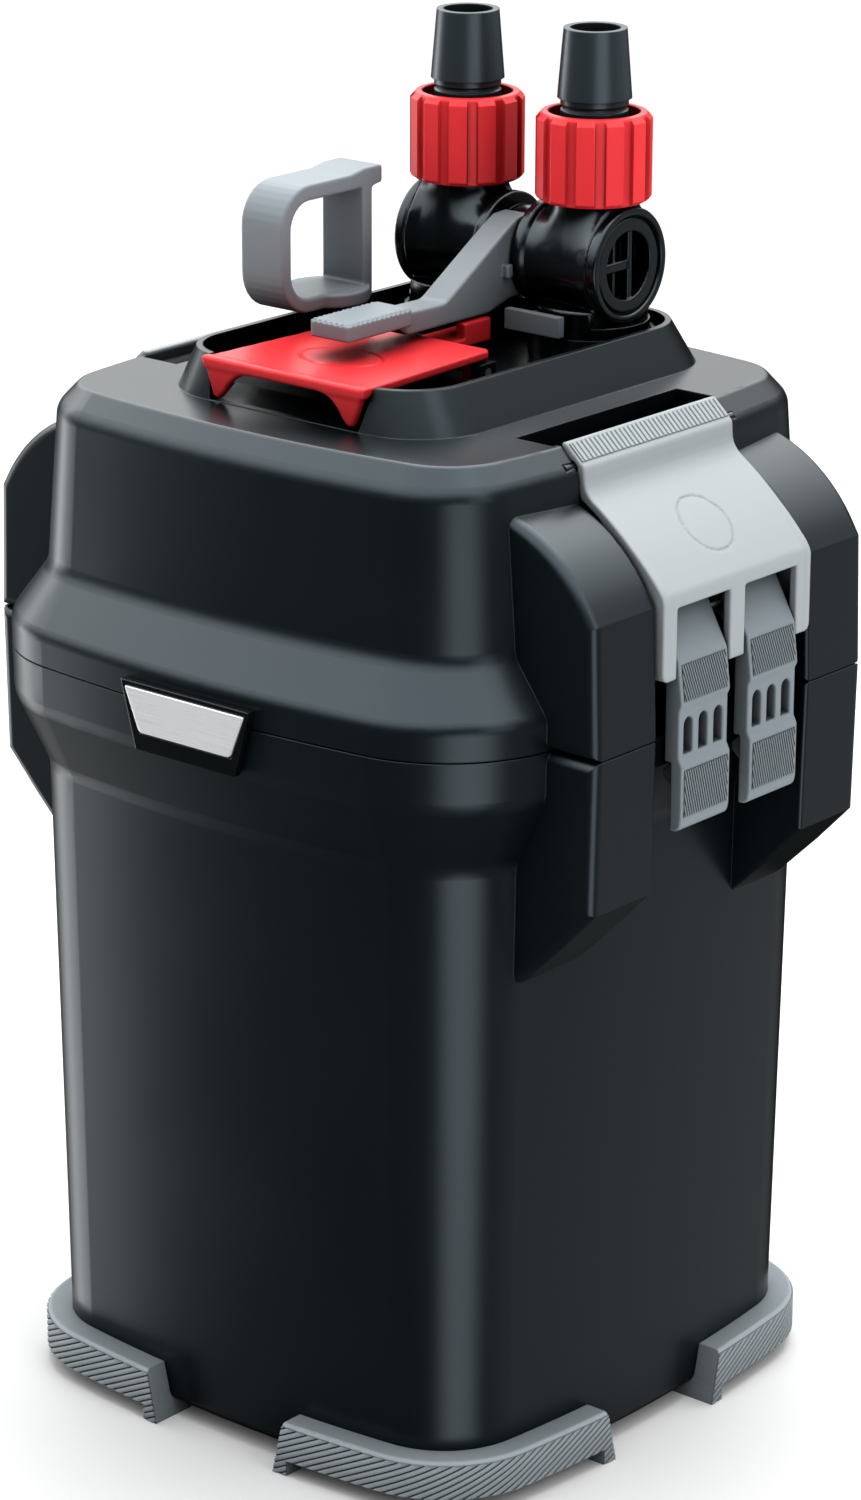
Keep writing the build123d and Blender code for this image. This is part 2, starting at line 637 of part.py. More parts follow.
def valve_drum():
    """Right plug of the valve with its cross passage."""
    solid = rod_x(DRUM_R, DRUM_START, DRUM_END, VALVE_Y, VALVE_Z)
    return solid - rod(PASSAGE_R, 300, 330, PORT_X, VALVE_Y)


def hose_connector(side):
    """Tapered hose tail with a flange that the nut presses down."""
    outline = (
        (6.2, 336), (8.3, 336), (8.3, STUB_TOP), (11.8, STUB_TOP), (11.8, 346.2), (9.25, 346.2), (9.25, 355.4),
        (8.7, 355.8), (8.7, 356.6), (9.25, 357.0), (9.25, HOSE_FOOT_Z), (HOSE_FOOT_R, HOSE_FOOT_Z),
        (HOSE_TIP_R, HOSE_TOP), (HOSE_BORE, HOSE_TOP), (HOSE_BORE, 360), (6.2, 358),
    )
    return turned(outline, side * PORT_X, VALVE_Y)


def lock_nut(side):
    """Ribbed union nut of one hose connector."""
    outline = (
        (13.0, NUT_BOTTOM), (NUT_ROOT_R, NUT_BOTTOM), (NUT_ROOT_R, NUT_TOP - 0.6), (13.9, NUT_TOP), (12.4, NUT_TOP),
        (12.4, 351.6), (9.9, 351.6), (9.9, 347.0), (13.0, 347.0),
    )
    x = side * PORT_X
    nut = turned(outline, x, VALVE_Y)
    sleeve = ring(NUT_R, 14, NUT_BOTTOM + 0.8, NUT_TOP - 1.2, 0, 0)
    for rib in range(NUT_RIBS):
        wedge = block((13.5, -2.25, NUT_BOTTOM), (17, 2.25, NUT_TOP))
        nut = nut + Pos(x, VALVE_Y, 0) * Rot(0, 0, 360 / NUT_RIBS * rib) * (sleeve & wedge)
    return nut


# ---- release latch ---------------------------------------------------------------------------
def latch_plate():
    """Red release plate with a curved front lip that ends in two tails."""
    front = chain(
        (-28, 298), (28, 298), (27.6, 296.6), (24.4, 287.6), (22.4, 287.4), (20.6, 289.4),
        (10, 295.4, (16.8, 293.7)), (-10, 295.4), (-20.6, 289.4, (-16.8, 293.7)), (-22.4, 287.4), (-24.4, 287.6),
        (-27.6, 296.6),
    )
    lip = prism_y(front, -57.4, -54.6)
    plate = polygon((-27.9, -56), (27.9, -56), (25, -3.2), (23.4, -1.6), (-23.4, -1.6), (-25, -3.2))
    face = Pos(0, 0, 295.5) * Face(Wire(plate))
    solid = lip + Solid.extrude(face, Vector(0, 0, 2.5))
    solid = solid + block((-6, -3, 293.4), (6, 21, 295.5)) + block((2.6, 10, 295.5), (6, 21, 299.8))
    for low in (-22.4, 19.4):
        lug = block((low, -7.4, 290.4), (low + 3, -2.2, 295.5))
        solid = solid + (lug - rod_x(LATCH_PIN_R + RUNNING, -30, 30, *LATCH_PIN))
    return solid


def exported():
    """Every node of the filter by name."""
    x, y = MOTOR
    right_shell = clamp_shell()
    right_tabs = clamp_tabs()
    right_pin = rod_y(CLAMP_PIN_R, -35.6, 35.6, *CLAMP_PIN)
    right_tab_pin = rod_y(TAB_PIN_R, -CLAMP_HALF, CLAMP_HALF, *TAB_PIN)
    nodes = {
        "canister_body": canister_body(),
        **feet(),
        "media_basket_lower": media_basket(BASKET_FLOORS[0]),
        "media_basket_upper": media_basket(BASKET_FLOORS[1]),
        "basket_cover": basket_cover(),
        "ceramic_media": tray_box(BASKET_WALL + 0.5, BASKET_FLOORS[0] + 2, BASKET_FLOORS[0] + 60),
        "carbon_media": tray_box(BASKET_WALL + 0.5, BASKET_FLOORS[1] + 2, BASKET_FLOORS[1] + 60),
        "foam_frame": foam_frame(),
        "foam_pad_coarse": block((-70.5, -49.5, 10), (-61.5, 49.5, 180)),
        "foam_pad_fine": block((-60.5, -49.5, 10), (-51.5, 49.5, 180)),
        "head_cover": head_cover(),
        "head_base": head_base(),
        "head_seal": head_seal(),
        "head_screws": head_screws(),
        "motor_stator": motor_stator(),
        "rotor_well": rotor_well(),
        "rotor_shaft": rod(SHAFT_R, 201.6, 265, x, y),
        "shaft_bush_upper": ring(5, SHAFT_R, 261, 265, x, y),
        "shaft_bush_lower": ring(3.6, SHAFT_R, 201, 205, x, y),
        "impeller_cover": impeller_cover(),
        "rotor_magnet": ring(10.6, SHAFT_R + RUNNING, 221.6, 257, x, y),
        "impeller_vanes": impeller_vanes(),
        "primer_cylinder": primer_cylinder(),
        "primer_handle": primer_handle(),
        "primer_rod": rod(PRIMER_ROD_R, 230, 302, *PRIMER),
        "primer_piston": primer_piston(),
        "primer_seal": ring(12.7, 10.6, 224, 227, *PRIMER),
        "badge_carrier": badge_carrier(),
        "badge_plate": prism_y(badge_outline(1.5, 0), -96.5, -95.3),
        "cable_gland": cable_gland(),
        "clamp_pin_right": right_pin,
        "clamp_pin_left": right_pin.mirror(Plane.YZ),
        "clamp_shell_right": right_shell,
        "clamp_shell_left": right_shell.mirror(Plane.YZ),
        "clamp_tabs_right": right_tabs,
        "clamp_tabs_left": right_tabs.mirror(Plane.YZ),
        "tab_pin_right": right_tab_pin,
        "tab_pin_left": right_tab_pin.mirror(Plane.YZ),
        "valve_body": valve_body(),
        "valve_end_cap_right": end_cap(),
        "valve_end_cap_left": end_cap().mirror(Plane.YZ),
        "port_seals": Compound(children=[ring(10.1, 8.6, 271, 274, s * PORT_X, VALVE_Y) for s in (-1, 1)]),
        "latch_bar": latch_bar(),
        "valve_lever": lever_arm(),
        "valve_spindle": valve_spindle(),
        "valve_drum_right": valve_drum(),
        "valve_drum_left": valve_drum().mirror(Plane.YZ),
        "hose_connector_right": hose_connector(1),
        "hose_connector_left": hose_connector(-1),
        "lock_nut_right": lock_nut(1),
        "lock_nut_left": lock_nut(-1),
        "latch_plate": latch_plate(),
        "latch_pin": rod_x(LATCH_PIN_R, -26.4, 26.4, *LATCH_PIN),
    }
    return nodes


os.makedirs("parts", exist_ok=True)
for name, solid in exported().items():
    export_step(solid, "parts/" + name + ".step")
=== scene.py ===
import json
from math import atan2, ceil, cos, hypot, pi, radians, sin, tan

import bmesh
import bpy
import numpy as np
from mathutils import Matrix, Vector


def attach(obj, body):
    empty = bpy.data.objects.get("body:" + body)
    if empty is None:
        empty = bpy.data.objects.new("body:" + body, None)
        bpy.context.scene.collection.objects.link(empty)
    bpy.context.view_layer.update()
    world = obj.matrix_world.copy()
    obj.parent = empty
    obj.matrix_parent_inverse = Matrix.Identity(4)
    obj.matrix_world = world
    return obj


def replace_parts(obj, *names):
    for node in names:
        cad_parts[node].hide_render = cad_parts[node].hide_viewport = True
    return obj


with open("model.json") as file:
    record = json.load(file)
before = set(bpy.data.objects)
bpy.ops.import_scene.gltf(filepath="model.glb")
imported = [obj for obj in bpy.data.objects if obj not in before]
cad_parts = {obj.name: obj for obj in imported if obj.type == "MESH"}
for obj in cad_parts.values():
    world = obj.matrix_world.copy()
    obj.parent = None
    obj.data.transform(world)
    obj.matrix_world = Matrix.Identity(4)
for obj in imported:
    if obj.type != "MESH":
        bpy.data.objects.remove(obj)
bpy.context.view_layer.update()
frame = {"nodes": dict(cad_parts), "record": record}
NODES = frame["nodes"]

# Step for the slope of a field in millimetres, and lines in each rounded corner of an outline
SLOPE_STEP = 0.02
ARC_STEPS = 8

# ---- stage: floor, light and camera -----------------------------------------------------------
CAMERA_PLACE = Vector((0.8206, -0.9675, 0.6072))
CAMERA_AIM = Vector((0.0032, -0.0012, 0.1810))
CAMERA_LENS = 116.2
CAMERA_SENSOR = 36.0
CAMERA_ROLL = radians(0.18)
CAMERA_SHIFT = 0.0009
FLOOR_HALF = 6.0
# Each light: place, point it is aimed at, width and height in metres, and power
LIGHTS = {
    "key_top": ((-0.1, 0.35, 1.5), (0, 0, 0.2), (1.3, 1.3), 17),
    "strip_left": ((-1.25, -0.15, 0.45), (0, 0, 0.17), (0.22, 1.3), 2.5),
    "strip_right": ((1.2, -0.25, 0.75), (0, 0, 0.25), (0.5, 1.0), 3),
}
# Each glow of the studio: its direction, the cosines where it starts and where it is full, and its
# levels before and after
STUDIO_GENERAL = ((-0.35, 0.45, 0.82), -0.35, 0.75, 0.4, 1.0)
STUDIO_GLOSSY = ((-0.20, 0.0, 0.98), 0.12, 0.72, 0.01, 4.5)
STUDIO_STRIPS = (
    ((-0.92, -0.22, -0.33), 0.93, 0.995, 0.0, 3.0),
    ((-0.93, -0.12, -0.34), 0.84, 1.0, 0.0, 0.8),
    ((0.61, 0.72, -0.33), 0.62, 1.0, 0.0, 0.4),
    ((0.79, -0.51, -0.33), 0.88, 0.99, 0.0, 3.4),
)


def add_camera():
    """Camera without depth of field, turned a little about its own axis."""
    data = bpy.data.cameras.new("camera")
    data.lens = CAMERA_LENS
    data.sensor_width = CAMERA_SENSOR
    data.shift_x = CAMERA_SHIFT
    data.clip_start = 0.05
    data.clip_end = 50.0
    data.dof.use_dof = False
    camera = bpy.data.objects.new("camera", data)
    bpy.context.scene.collection.objects.link(camera)
    camera.location = CAMERA_PLACE
    facing = (CAMERA_AIM - CAMERA_PLACE).to_track_quat("-Z", "Y").to_matrix()
    camera.rotation_euler = (facing @ Matrix.Rotation(CAMERA_ROLL, 3, "Z")).to_euler()
    bpy.context.scene.camera = camera


def add_light(name, place, aim, size, power):
    """Rectangular soft light."""
    data = bpy.data.lights.new(name, "AREA")
    data.shape = "RECTANGLE"
    data.size, data.size_y = size
    data.energy = power
    light = bpy.data.objects.new(name, data)
    bpy.context.scene.collection.objects.link(light)
    light.location = place
    light.rotation_euler = (Vector(aim) - Vector(place)).to_track_quat("-Z", "Y").to_euler()


def add_floor():
    """Pale matt floor that leaves no reflection on the object."""
    mesh = bpy.data.meshes.new("floor")
    corners = [(x * FLOOR_HALF, y * FLOOR_HALF, 0) for x, y in ((-1, -1), (1, -1), (1, 1), (-1, 1))]
    mesh.from_pydata(corners, [], [(0, 1, 2, 3)])
    floor = bpy.data.objects.new("floor", mesh)
    bpy.context.scene.collection.objects.link(floor)
    material = bpy.data.materials.new("floor")
    material.use_nodes = True
    shader = material.node_tree.nodes["Principled BSDF"]
    shader.inputs["Base Color"].default_value = (0.97, 0.97, 0.97, 1)
    shader.inputs["Roughness"].default_value = 0.7
    shader.inputs["Specular IOR Level"].default_value = 0.1
    mesh.materials.append(material)
    floor.visible_glossy = False


def add_world():
    """White backdrop for the camera; light from above and behind; strips that only reflections see."""
    world = bpy.data.worlds.new("studio")
    bpy.context.scene.world = world
    world.use_nodes = True
    tree = world.node_tree
    place = tree.nodes.new("ShaderNodeTexCoord")

    def glow(direction, start, end, before, after):
        """Level that rises as a ray turns towards a direction."""
        ahead = tree.nodes.new("ShaderNodeVectorMath")
        ahead.operation = "DOT_PRODUCT"
        ahead.inputs[1].default_value = direction
        tree.links.new(place.outputs["Generated"], ahead.inputs[0])
        level = tree.nodes.new("ShaderNodeMapRange")
        level.interpolation_type = "SMOOTHSTEP"
        level.inputs["From Min"].default_value = start
        level.inputs["From Max"].default_value = end
        level.inputs["To Min"].default_value = before
        level.inputs["To Max"].default_value = after
        tree.links.new(ahead.outputs["Value"], level.inputs["Value"])
        return level.outputs["Result"]

    def pick(switch, off, on):
        """Level for rays of one kind, and for all others. Each level is a socket or a number."""
        node = tree.nodes.new("ShaderNodeMix")
        node.data_type = "FLOAT"
        tree.links.new(path.outputs[switch], node.inputs[0])
        for slot, value in ((2, off), (3, on)):
            if isinstance(value, float):
                node.inputs[slot].default_value = value
            else:
                tree.links.new(value, node.inputs[slot])
        return node.outputs[0]

    path = tree.nodes.new("ShaderNodeLightPath")
    general = glow(*STUDIO_GENERAL)
    shining = glow(*STUDIO_GLOSSY)
    for strip in STUDIO_STRIPS:
        add = tree.nodes.new("ShaderNodeMath")
        add.operation = "ADD"
        tree.links.new(shining, add.inputs[0])
        tree.links.new(glow(*strip), add.inputs[1])
        shining = add.outputs["Value"]
    level = pick("Is Camera Ray", pick("Is Glossy Ray", general, shining), 1.0)
    background = tree.nodes["Background"]
    background.inputs["Color"].default_value = (1, 1, 1, 1)
    tree.links.new(level, background.inputs["Strength"])


add_camera()
add_world()
add_floor()
for name, light in LIGHTS.items():
    add_light(name, *light)
bpy.context.scene.view_settings.view_transform = "Standard"


# ---- materials --------------------------------------------------------------------------------
# Tints of a highlight, then metres: the softening of each edge and the reach of the painted shade in a
# recess
WHITE = (1, 1, 1, 1)
# COOL tints the reflections of the dark plastics blue: painted bluish studio light
COOL = (0.74, 0.90, 1.0, 1)
EDGE_RADIUS = 0.0005
RECESS = 0.032
# Mottling per metre, how far gloss varies with it, and the lines of brushed metal across and along
MOTTLING = 22
GLOSS_SPREAD = 0.04
BRUSH_ACROSS, BRUSH_ALONG = 9000.0, 60.0
BRUSH_GLOSS_SPREAD = 0.08


def moulded(
    name, colour, roughness, grain=0.0003, relief=0.00001, spread=0.06, specular=0.5, sheen=WHITE
):
    """Moulded plastic or rubber: fine grain, uneven gloss and tone, softened edges, painted shade that
    darkens colour and gloss in recesses.
    """
    material = bpy.data.materials.new(name)
    material.use_nodes = True
    tree = material.node_tree
    shader = tree.nodes["Principled BSDF"]
    shader.inputs["Specular Tint"].default_value = sheen
    place = tree.nodes.new("ShaderNodeTexCoord")
    fine = tree.nodes.new("ShaderNodeTexNoise")
    fine.inputs["Scale"].default_value = 1 / grain
    fine.inputs["Detail"].default_value = 3
    tree.links.new(place.outputs["Object"], fine.inputs["Vector"])
    broad = tree.nodes.new("ShaderNodeTexNoise")
    broad.inputs["Scale"].default_value = MOTTLING
    broad.inputs["Detail"].default_value = 4
    tree.links.new(place.outputs["Object"], broad.inputs["Vector"])
    tone = tree.nodes.new("ShaderNodeMapRange")
    tone.inputs["To Min"].default_value = 1 - spread
    tone.inputs["To Max"].default_value = 1 + spread
    tree.links.new(broad.outputs["Fac"], tone.inputs["Value"])
    tint = tree.nodes.new("ShaderNodeVectorMath")
    tint.operation = "SCALE"
    tint.inputs[0].default_value = colour
    tree.links.new(tone.outputs["Result"], tint.inputs["Scale"])
    # Ambient occlusion darkens the colour in recesses: painted shade
    painted_recess_shade = tree.nodes.new("ShaderNodeAmbientOcclusion")
    painted_recess_shade.samples = 4
    painted_recess_shade.inputs["Distance"].default_value = RECESS
    tree.links.new(tint.outputs["Vector"], painted_recess_shade.inputs["Color"])
    tree.links.new(painted_recess_shade.outputs["Color"], shader.inputs["Base Color"])
    # The same occlusion lowers the gloss in recesses: painted shade on the reflections
    shine = tree.nodes.new("ShaderNodeMapRange")
    shine.inputs["From Min"].default_value = 0.2
    shine.inputs["From Max"].default_value = 0.75
    shine.inputs["To Max"].default_value = specular
    tree.links.new(painted_recess_shade.outputs["AO"], shine.inputs["Value"])
    tree.links.new(shine.outputs["Result"], shader.inputs["Specular IOR Level"])
    gloss = tree.nodes.new("ShaderNodeMapRange")
    gloss.inputs["To Min"].default_value = roughness - GLOSS_SPREAD
    gloss.inputs["To Max"].default_value = roughness + GLOSS_SPREAD
    tree.links.new(broad.outputs["Fac"], gloss.inputs["Value"])
    tree.links.new(gloss.outputs["Result"], shader.inputs["Roughness"])
    soft = tree.nodes.new("ShaderNodeBevel")
    soft.samples = 4
    soft.inputs["Radius"].default_value = EDGE_RADIUS
    bump = tree.nodes.new("ShaderNodeBump")
    bump.inputs["Distance"].default_value = relief
    bump.inputs["Strength"].default_value = 0.5
    tree.links.new(fine.outputs["Fac"], bump.inputs["Height"])
    tree.links.new(soft.outputs["Normal"], bump.inputs["Normal"])
    tree.links.new(bump.outputs["Normal"], shader.inputs["Normal"])
    return material


def brushed(name, colour, roughness, along, metallic=1.0):
    """Brushed metal with fine lines that run along one axis (0 X, 1 Y, 2 Z)."""
    material = bpy.data.materials.new(name)
    material.use_nodes = True
    tree = material.node_tree
    shader = tree.nodes["Principled BSDF"]
    shader.inputs["Metallic"].default_value = metallic
    place = tree.nodes.new("ShaderNodeTexCoord")
    stretch = tree.nodes.new("ShaderNodeMapping")
    scale = [BRUSH_ACROSS] * 3
    scale[along] = BRUSH_ALONG
    stretch.inputs["Scale"].default_value = scale
    tree.links.new(place.outputs["Object"], stretch.inputs["Vector"])
    lines = tree.nodes.new("ShaderNodeTexNoise")
    lines.inputs["Scale"].default_value = 1.0
    lines.inputs["Detail"].default_value = 3
    tree.links.new(stretch.outputs["Vector"], lines.inputs["Vector"])
    tone = tree.nodes.new("ShaderNodeMapRange")
    tone.inputs["To Min"].default_value = 0.85
    tone.inputs["To Max"].default_value = 1.1
    tree.links.new(lines.outputs["Fac"], tone.inputs["Value"])
    tint = tree.nodes.new("ShaderNodeVectorMath")
    tint.operation = "SCALE"
    tint.inputs[0].default_value = colour
    tree.links.new(tone.outputs["Result"], tint.inputs["Scale"])
    tree.links.new(tint.outputs["Vector"], shader.inputs["Base Color"])
    gloss = tree.nodes.new("ShaderNodeMapRange")
    gloss.inputs["To Min"].default_value = roughness - BRUSH_GLOSS_SPREAD
    gloss.inputs["To Max"].default_value = roughness + BRUSH_GLOSS_SPREAD
    tree.links.new(lines.outputs["Fac"], gloss.inputs["Value"])
    tree.links.new(gloss.outputs["Result"], shader.inputs["Roughness"])
    return material


MOULDED = {
    "charcoal_plastic": ((0.0045, 0.0075, 0.0095), 0.29, {"specular": 0.34, "sheen": COOL}),
    "inner_plastic": ((0.02, 0.022, 0.024), 0.45, {}),
    "black_plastic": ((0.002, 0.003, 0.0035), 0.2, {"spread": 0.03, "specular": 0.4, "sheen": COOL}),
    "hose_tail_plastic": ((0.020, 0.029, 0.034), 0.3, {"spread": 0.03, "specular": 0.5, "sheen": COOL}),
    "light_grey_plastic": ((0.385, 0.42, 0.44), 0.42, {"spread": 0.03, "specular": 0.2}),
    "mid_grey_plastic": ((0.235, 0.275, 0.30), 0.42, {"spread": 0.04, "specular": 0.22}),
    "foot_rubber": ((0.37, 0.42, 0.45), 0.6, {"relief": 0.00003, "specular": 0.25}),
    "red_plastic": ((0.92, 0.034, 0.042), 0.34, {"spread": 0.04, "specular": 0.22}),
    # Dark finish of the sheets that paint the shade in grooves and slots
    "groove_shade": ((0.035, 0.042, 0.05), 0.6, {"specular": 0.2}),
    "seal_rubber": ((0.02, 0.02, 0.02), 0.6, {}),
    "potting": ((0.02, 0.02, 0.025), 0.5, {}),
    "white_plastic": ((0.7, 0.7, 0.68), 0.4, {}),
    "ferrite": ((0.07, 0.07, 0.07), 0.55, {"relief": 0.00005}),
    "foam": ((0.05, 0.055, 0.065), 0.9, {"grain": 0.0012, "relief": 0.0006, "spread": 0.2}),
    "ceramic_rings": ((0.66, 0.61, 0.55), 0.8, {"grain": 0.002, "relief": 0.0006, "spread": 0.15}),
    "carbon": ((0.015, 0.015, 0.016), 0.6, {"grain": 0.0015, "relief": 0.0006, "spread": 0.3}),
}
MATERIALS = {name: moulded(name, *look[:2], **look[2]) for name, look in MOULDED.items()}
MATERIALS["badge_metal"] = brushed("badge_metal", (0.86, 0.87, 0.88), 0.3, 0, 0.35)
MATERIALS["steel"] = brushed("steel", (0.55, 0.56, 0.57), 0.3, 1)
# A node takes the look of its slot, apart from these
SLOT_OF = {entry["node"]: entry["material_slot"] for entry in frame["record"]["subparts"]}
LOOK_OF = {
    "hose_connector_right": "hose_tail_plastic",
    "hose_connector_left": "hose_tail_plastic",
    "clamp_pin_right": "black_plastic",
    "clamp_pin_left": "black_plastic",
}

for name, node in NODES.items():
    node.data.materials.clear()
    node.data.materials.append(MATERIALS[LOOK_OF.get(name, SLOT_OF[name])])


# ---- smooth forms: signed distance fields in millimetres -------------------------------------
def inside(value, low, high):
    """Signed distance from the interval between low and high."""
    return np.maximum(low - value, value - high)


def rounded(radius, *fields):
    """Intersection of fields with its edges rounded."""
    grown = [field + radius for field in fields]
    outside = sum(np.maximum(field, 0) ** 2 for field in grown)
    deepest = grown[0]
    for field in grown[1:]:
        deepest = np.maximum(deepest, field)
    return np.sqrt(outside) + np.minimum(deepest, 0) - radius


def blend(first, second, width):
    """Union of two fields with a hollow fillet between them."""
    share = np.clip(0.5 + 0.5 * (second - first) / width, 0, 1)
    return second * (1 - share) + first * share - width * share * (1 - share)


def carve(solid, tool, width):
    """First field less the second, with the new edge rounded."""
    return -blend(-solid, tool, width)


def bend(*corners):
    """Closed outline from (x, y) corners, or (x, y, radius) for a rounded one."""
    points = []
    for i, corner in enumerate(corners):
        here = Vector(corner[:2])
        if len(corner) == 2:
            points.append(tuple(here))
            continue
        back = (Vector(corners[i - 1][:2]) - here).normalized()
        ahead = (Vector(corners[(i + 1) % len(corners)][:2]) - here).normalized()
        half = back.angle(ahead) / 2
        centre = here + (back + ahead).normalized() * corner[2] / sin(half)
        start = here + back * corner[2] / tan(half) - centre
        end = here + ahead * corner[2] / tan(half) - centre
        turn = start.angle_signed(end)
        for step in range(ARC_STEPS + 1):
            arm = start.copy()
            arm.rotate(Matrix.Rotation(-turn * step / ARC_STEPS, 2))
            points.append(tuple(centre + arm))
    return points


def sweep(start, middle, end):
    """Points of the arc from start to end through middle."""
    (ax, ay), (bx, by), (cx, cy) = start, middle, end
    scale = 2 * (ax * (by - cy) + bx * (cy - ay) + cx * (ay - by))
    a, b, c = ax * ax + ay * ay, bx * bx + by * by, cx * cx + cy * cy
    centre_x = (a * (by - cy) + b * (cy - ay) + c * (ay - by)) / scale
    centre_y = (a * (cx - bx) + b * (ax - cx) + c * (bx - ax)) / scale
    first = atan2(ay - centre_y, ax - centre_x)
    turn = (atan2(cy - centre_y, cx - centre_x) - first + pi) % (2 * pi) - pi
    radius = hypot(ax - centre_x, ay - centre_y)
    angles = [first + turn * step / ARC_STEPS for step in range(ARC_STEPS + 1)]
    return [(centre_x + radius * cos(angle), centre_y + radius * sin(angle)) for angle in angles]


def outline(points, u, v):
    """Signed distance from a closed outline in the u, v plane."""
    far = np.full(np.broadcast(u, v).shape, np.inf)
    odd = np.zeros(far.shape, bool)
    for (u0, v0), (u1, v1) in zip(points, points[1:] + points[:1]):
        du, dv = u1 - u0, v1 - v0
        length = du * du + dv * dv
        if length == 0:
            continue
        along = np.clip(((u - u0) * du + (v - v0) * dv) / length, 0, 1)
        far = np.minimum(far, (u - u0 - along * du) ** 2 + (v - v0 - along * dv) ** 2)
        if v0 != v1:
            odd ^= ((v0 > v) != (v1 > v)) & (u < u0 + (v - v0) * du / dv)
    return np.where(odd, -1, 1) * np.sqrt(far)


def net(field, low, high, step):
    """Vertices and quads of the surface where a field is zero, between two corners."""
    axes = [np.arange(a - 1.5 * step, b + 2.5 * step, step) for a, b in zip(low, high)]
    value = field(*np.meshgrid(*axes, indexing="ij", sparse=True))
    cells = [count - 1 for count in value.shape]
    total = np.zeros((*cells, 3))
    count = np.zeros(cells)

    def corner(place):
        return value[tuple(slice(start, start + size) for start, size in zip(place, cells))]

    for place in np.ndindex(2, 2, 2):
        for axis in range(3):
            if place[axis]:
                continue
            other = list(place)
            other[axis] = 1
            first, second = corner(place), corner(other)
            crossed = (first < 0) != (second < 0)
            share = np.where(crossed, first / np.where(crossed, first - second, 1), 0)
            for i in range(3):
                total[..., i] += np.where(crossed, place[i] + (share if i == axis else 0), 0)
            count += crossed
    used = count > 0
    number = np.full(cells, -1)
    number[used] = np.arange(used.sum())
    start = [axis[0] for axis in axes]
    points = (np.argwhere(used) + total[used] / count[used][:, None]) * step + start
    quads = []
    for axis in range(3):
        first = value[tuple(slice(0, -1) if i == axis else slice(1, -1) for i in range(3))] < 0
        second = value[tuple(slice(1, None) if i == axis else slice(1, -1) for i in range(3))] < 0
        u, v = np.eye(3, dtype=int)[[(axis + 1) % 3, (axis + 2) % 3]]
        for leaving, crossed in ((True, first & ~second), (False, second & ~first)):
            cell = np.argwhere(crossed)
            around = (cell, cell + u, cell + u + v, cell + v)
            ring = np.stack([number[tuple(part.T)] for part in around], axis=1)
            quads.append(ring if leaving else ring[:, ::-1])
    return settle(field, points, step), np.concatenate(quads)


def settle(field, points, step):
    """Moves points onto the surface of a field."""
    for _ in range(3):
        slope = np.empty_like(points)
        for axis in range(3):
            nudge = np.zeros(3)
            nudge[axis] = SLOPE_STEP
            rise = field(*(points + nudge).T) - field(*(points - nudge).T)
            slope[:, axis] = rise / (2 * SLOPE_STEP)
        reach = field(*points.T) / np.maximum((slope**2).sum(axis=1), 0.2)
        points = points - slope * np.clip(reach, -step / 2, step / 2)[:, None]
    return points


# ---- pieces -----------------------------------------------------------------------------------
def add_piece(name, points, faces, material, body, sharp=None):
    """Mesh piece from points in millimetres; it moves with a body. sharp is the crease angle."""
    mesh = bpy.data.meshes.new(name)
    mesh.from_pydata((np.asarray(points) / 1000).tolist(), [], [list(map(int, face)) for face in faces])
    mesh.shade_smooth()
    if sharp:
        mesh.set_sharp_from_angle(angle=radians(sharp))
    mesh.materials.append(MATERIALS[material])
    piece = bpy.data.objects.new(name, mesh)
    bpy.context.scene.collection.objects.link(piece)
    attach(piece, body)
    return piece


def block(low, high):
    """Closed box between two corners."""
    points = [[(low, high)[(i >> axis) & 1][axis] for axis in range(3)] for i in range(8)]
    return points, [(0, 2, 3, 1), (4, 5, 7, 6), (0, 1, 5, 4), (2, 6, 7, 3), (0, 4, 6, 2), (1, 3, 7, 5)]


def mirrored(points, faces):
    """The same surface on the other side of the plane x = 0."""
    return np.asarray(points) * (-1, 1, 1), [face[::-1] for face in faces]


# Section of a rib: shares of the pitch, and shares of its depth
RIB_FLARE, RIB_CHAMFER = 0.06, 0.08
RIB_ROOT, RIB_SHOULDER = -0.3, 0.8
# Depth of the dark skin between ribs, a sheet of painted shade in the grooves
SKIN = 0.08


def ribs(span, rise, pitch, lean, depth, step, fill, slants=(0, 0)):
    """Bars over a strip, as a flat mesh of (u, v, lift): u over span, v over rise.

    The bars lean by lean times their height, and fill a share of the pitch. They are cut into rows
    of about step, so that they can follow a curve. slants says how far each end of the strip moves
    inwards for each unit of height.
    """
    work = bmesh.new()
    (start, end), (low, high) = span, rise
    shifts = (lean * low, lean * high)
    rows = max(1, ceil((high - low) / step))
    top = 0.5 * fill
    base = top + RIB_FLARE
    profile = (
        (-base, RIB_ROOT), (-top, RIB_SHOULDER), (RIB_CHAMFER - top, 1), (top - RIB_CHAMFER, 1),
        (top, RIB_SHOULDER), (base, RIB_ROOT),
    )
    for rib in range(int((start - max(shifts)) // pitch) - 1, int((end - min(shifts)) // pitch) + 3):
        last = None
        for row in range(rows + 1):
            v = low + (high - low) * row / rows
            line = [work.verts.new(((rib + a) * pitch + lean * v, v, b * depth)) for a, b in profile]
            if last:
                for i, here in enumerate(line):
                    after = (i + 1) % len(line)
                    work.faces.new((last[i], here, line[after], last[after]))
            else:
                work.faces.new(line)
            last = line
        work.faces.new(last[::-1])
    for edge, sign, slant in ((start, -1, slants[0]), (end, 1, slants[1])):
        cut = bmesh.ops.bisect_plane(
            work, geom=work.verts[:] + work.edges[:] + work.faces[:], plane_co=(edge, 0, 0),
            plane_no=(sign, slant, 0), clear_outer=True,
        )
        rim = [item for item in cut["geom_cut"] if isinstance(item, bmesh.types.BMEdge)]
        bmesh.ops.holes_fill(work, edges=rim)
    return work


def place_ribs(work, place):
    """Points and faces of a flat rib mesh once place has mapped each (u, v, lift) to a point."""
    bmesh.ops.recalc_face_normals(work, faces=work.faces[:])
    work.verts.index_update()
    points = [place(*vertex.co) for vertex in work.verts]
    faces = [[vertex.index for vertex in face.verts] for face in work.faces]
    work.free()
    return points, faces


